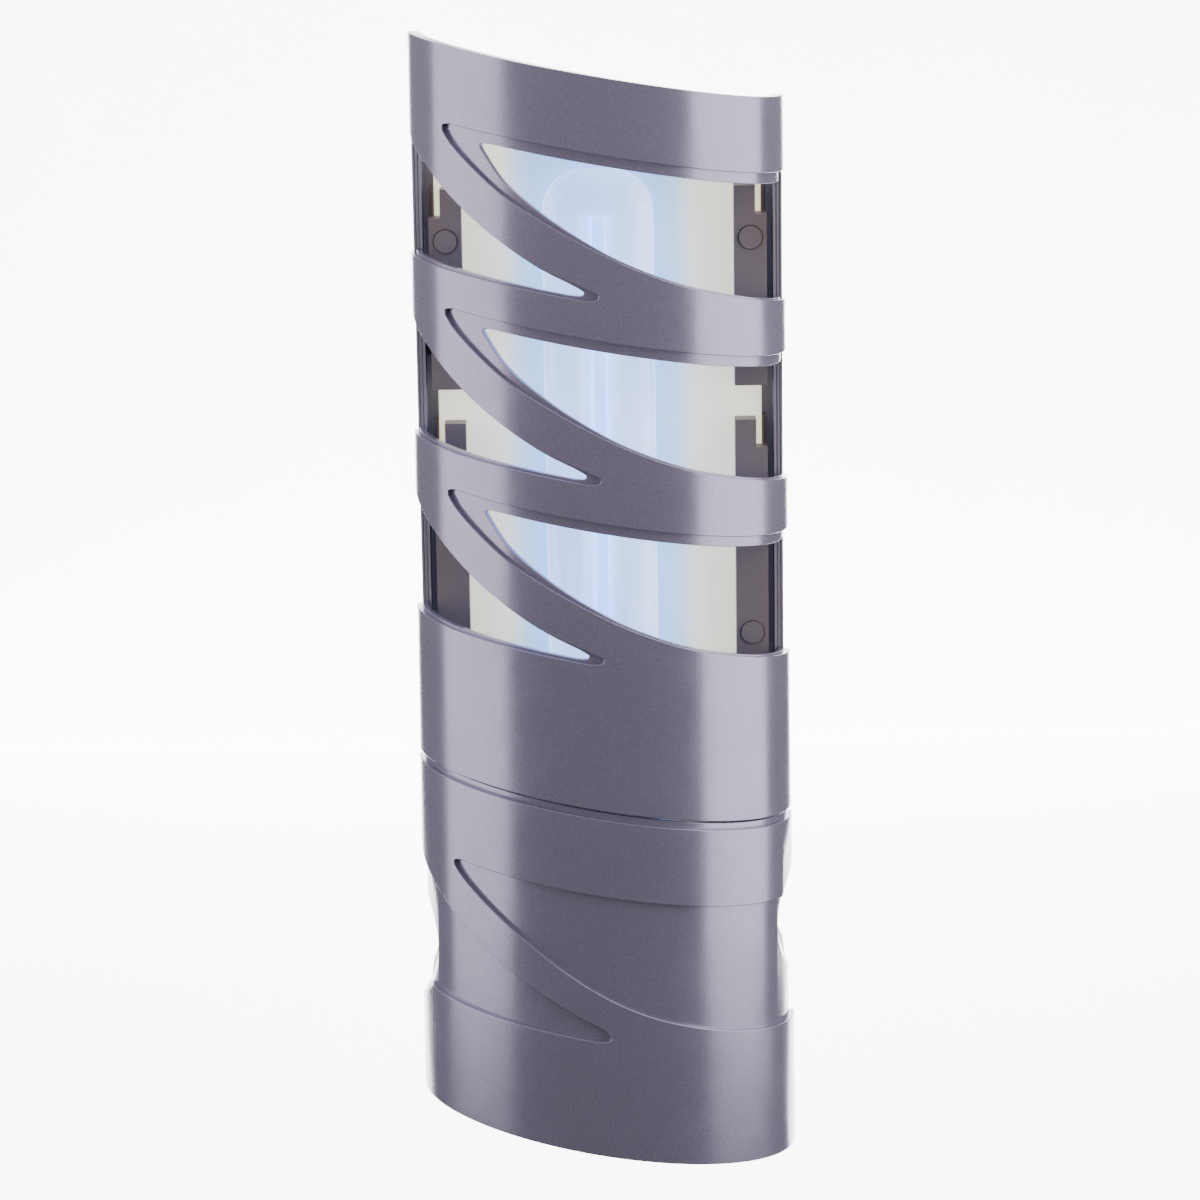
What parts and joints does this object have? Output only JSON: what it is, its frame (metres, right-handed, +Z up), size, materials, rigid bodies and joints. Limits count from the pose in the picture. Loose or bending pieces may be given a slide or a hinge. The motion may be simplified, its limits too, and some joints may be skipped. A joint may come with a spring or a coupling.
{
  "type": "insect light trap",
  "caption": "Wall-hung insect light trap with a bowed louvred front, a glowing twin-tube lamp and a slide-in catch board.",
  "frame": {"origin": "on the wall face, on the centre line, 190 mm below the middle of the front cover top edge", "axes": "+Z up along the unit, -Y out of the wall towards the room, +X to the right seen from the front"},
  "size_m": [0.1343, 0.073, 0.4024],
  "materials": {
    "shell": "glossy lavender-grey moulded plastic with a fine metallic look",
    "rear": "satin dark lavender-grey moulded plastic",
    "guide": "matt dark grey moulded plastic",
    "board": "pale coated board",
    "lamp_glass": "frosted tube glass, glowing pale blue",
    "white_plastic": "white heat-resistant plastic",
    "black_plastic": "black moulded plastic",
    "brass": "drawn brass",
    "steel": "plated steel",
    "circuit": "glass-fibre board with green solder resist",
    "copper": "varnished copper and resin",
    "ferrite": "dark sintered ferrite",
    "fuse_glass": "clear fuse glass",
    "wire_blue": "blue insulation",
    "wire_brown": "brown insulation"
  },
  "bodies": {
    "housing": {"ballast_board": "circuit", "board_screw_1": "steel", "board_screw_2": "steel", "board_screw_3": "steel", "board_screw_4": "steel", "choke_core": "ferrite", "choke_winding": "copper", "filter_capacitor": "black_plastic", "fuse": "fuse_glass", "fuse_cap_lower": "steel", "fuse_cap_upper": "steel", "guide_foot_lower_left": "guide", "guide_foot_lower_right": "guide", "guide_foot_upper_left": "guide", "guide_foot_upper_right": "guide", "guide_lower_left": "guide", "guide_lower_right": "guide", "guide_rivet_lower_left": "guide", "guide_rivet_lower_right": "guide", "guide_rivet_upper_left": "guide", "guide_rivet_upper_right": "guide", "guide_upper_left": "guide", "guide_upper_right": "guide", "inlet_pin_left": "steel", "inlet_pin_right": "steel", "lamp_capacitor": "copper", "lamp_clip": "white_plastic", "lamp_shelf": "rear", "lamp_socket": "white_plastic", "lower_cover": "shell", "lower_cover_floor": "shell", "power_inlet": "black_plastic", "rear_housing": "rear", "switch_frame": "black_plastic", "transistor_left": "black_plastic", "transistor_right": "black_plastic", "wire_lamp_left": "wire_blue", "wire_lamp_right": "wire_blue", "wire_live": "wire_brown", "wire_neutral": "wire_blue"},
    "upper_cover": {"upper_cover": "shell"},
    "catch_board": {"catch_board": "board"},
    "lamp": {"lamp_base": "white_plastic", "lamp_pin_1": "brass", "lamp_pin_2": "brass", "lamp_pin_3": "brass", "lamp_pin_4": "brass", "lamp_tubes": "lamp_glass"},
    "switch_rocker": {"switch_rocker": "black_plastic"}
  },
  "joints": [
    {"name": "cover_pull", "type": "slide", "parent": "housing", "child": "upper_cover", "axis": [0, -1, 0], "range_m": [0, 0.07]},
    {"name": "board_slide", "type": "slide", "parent": "housing", "child": "catch_board", "axis": [0, 0, 1], "range_m": [0, 0.235]},
    {"name": "lamp_unplug", "type": "slide", "parent": "housing", "child": "lamp", "axis": [0, 0, 1], "range_m": [0, 0.009]},
    {"name": "rocker_tilt", "type": "hinge", "parent": "housing", "child": "switch_rocker", "pos_m": [-0.028, -0.011, -0.1704], "axis": [0, 1, 0], "range_deg": [0, 6]}
  ]
}
